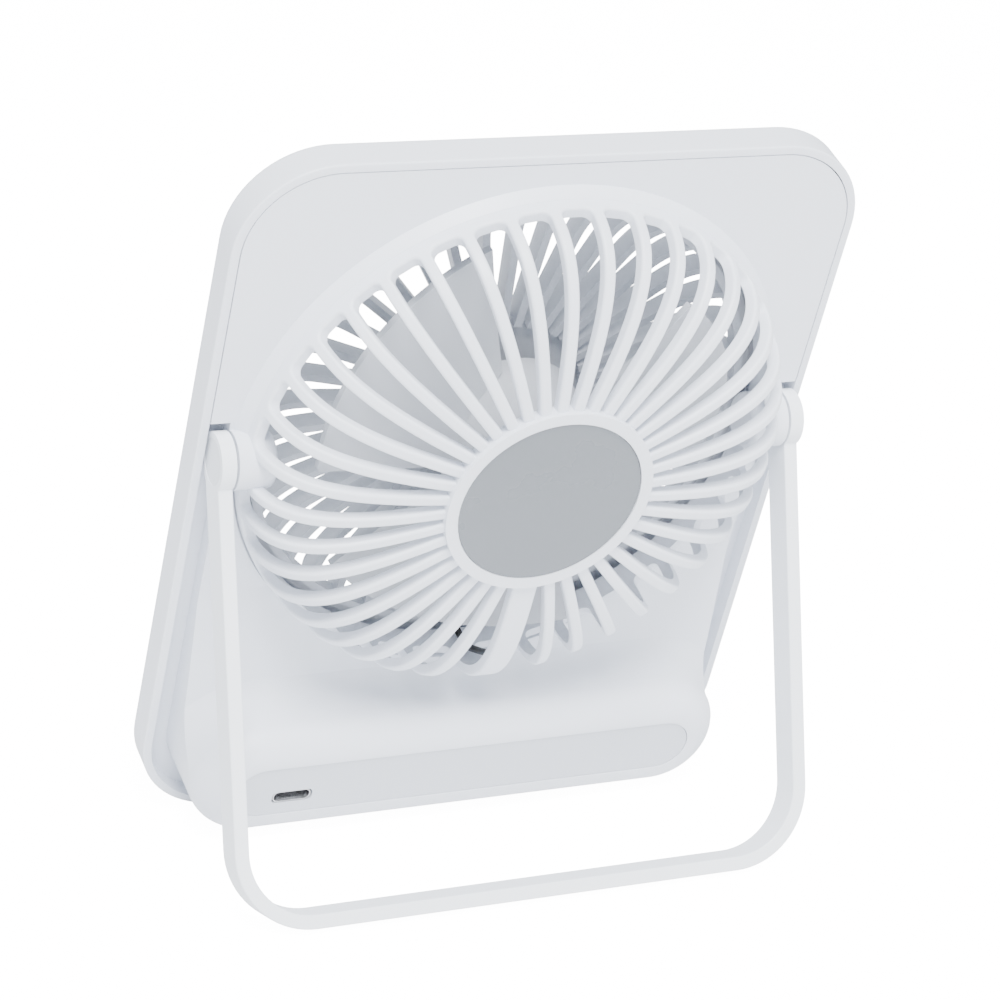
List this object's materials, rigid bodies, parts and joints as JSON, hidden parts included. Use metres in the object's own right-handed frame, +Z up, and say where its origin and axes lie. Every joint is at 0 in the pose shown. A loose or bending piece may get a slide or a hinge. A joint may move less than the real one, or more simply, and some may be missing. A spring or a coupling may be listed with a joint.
{
  "type": "desk fan",
  "caption": "Rechargeable desk fan with a flat rounded housing, domed rear guard and folding U-shaped stand.",
  "frame": {"origin": "centre of the bounding box on the floor, fan standing on its open stand", "axes": "+Z up, the fan blows towards -Y, +X is the fan's left seen from behind"},
  "size_m": [0.141, 0.073, 0.1677],
  "materials": {
    "shell_white": "fine satin moulding",
    "stand_white": "fine satin moulding",
    "panel_white": "fine satin moulding",
    "grille_white": "satin",
    "hub_grey": "soft gloss",
    "cap_white": "satin",
    "blade_grey": "satin translucent grey",
    "steel": "brushed",
    "tongue_white": "satin",
    "board_green": "solder mask",
    "chip_black": "matte",
    "cell_sleeve": "shrink sleeve",
    "clip_black": "matte",
    "copper": "enamelled wire",
    "core_steel": "laminated",
    "magnet_grey": "sintered",
    "bearing_steel": "ground",
    "lens_clear": "frosted",
    "lead_black": "matte",
    "button_white": "satin",
    "washer_nylon": "nylon"
  },
  "bodies": {
    "housing": {"battery_cell": "cell_sleeve", "battery_clip_left": "clip_black", "battery_clip_right": "clip_black", "battery_lead": "lead_black", "battery_panel": "panel_white", "bearing_back": "bearing_steel", "bearing_front": "bearing_steel", "button_board": "board_green", "charge_board": "board_green", "charge_chip": "chip_black", "front_grille": "grille_white", "front_housing": "shell_white", "front_hub_cap": "hub_grey", "hub_disc": "hub_grey", "indicator_lens": "lens_clear", "motor_base": "clip_black", "motor_board": "board_green", "motor_lead": "lead_black", "motor_screws": "steel", "pivot_screw_left": "steel", "pivot_screw_right": "steel", "pivot_washer_left": "washer_nylon", "pivot_washer_right": "washer_nylon", "rear_cover": "shell_white", "stator_coils": "copper", "stator_core": "core_steel", "switch_plunger": "clip_black", "tact_switch": "steel", "usb_shell": "steel", "usb_tongue": "tongue_white"},
    "rotor": {"impeller": "blade_grey", "rotor_can": "steel", "magnet_ring": "magnet_grey", "motor_shaft": "bearing_steel"},
    "stand": {"stand": "stand_white", "pivot_cap_left": "cap_white", "pivot_cap_right": "cap_white"},
    "button": {"power_button": "button_white"}
  },
  "joints": [
    {"name": "stand_hinge", "type": "hinge", "parent": "housing", "child": "stand", "pos_m": [0, 0.00515, 0.09755], "axis": [1, 0, 0], "range_deg": [-33.7, 136.3]},
    {"name": "fan_spin", "type": "hinge", "parent": "housing", "child": "rotor", "pos_m": [0, 0.00229, 0.09844], "axis": [0, 0.9549, -0.297], "continuous": true},
    {"name": "power_press", "type": "slide", "parent": "housing", "child": "button", "axis": [0, 0.9549, -0.297], "range_m": [0, 0.0004], "stiffness_N_per_m": 600}
  ]
}
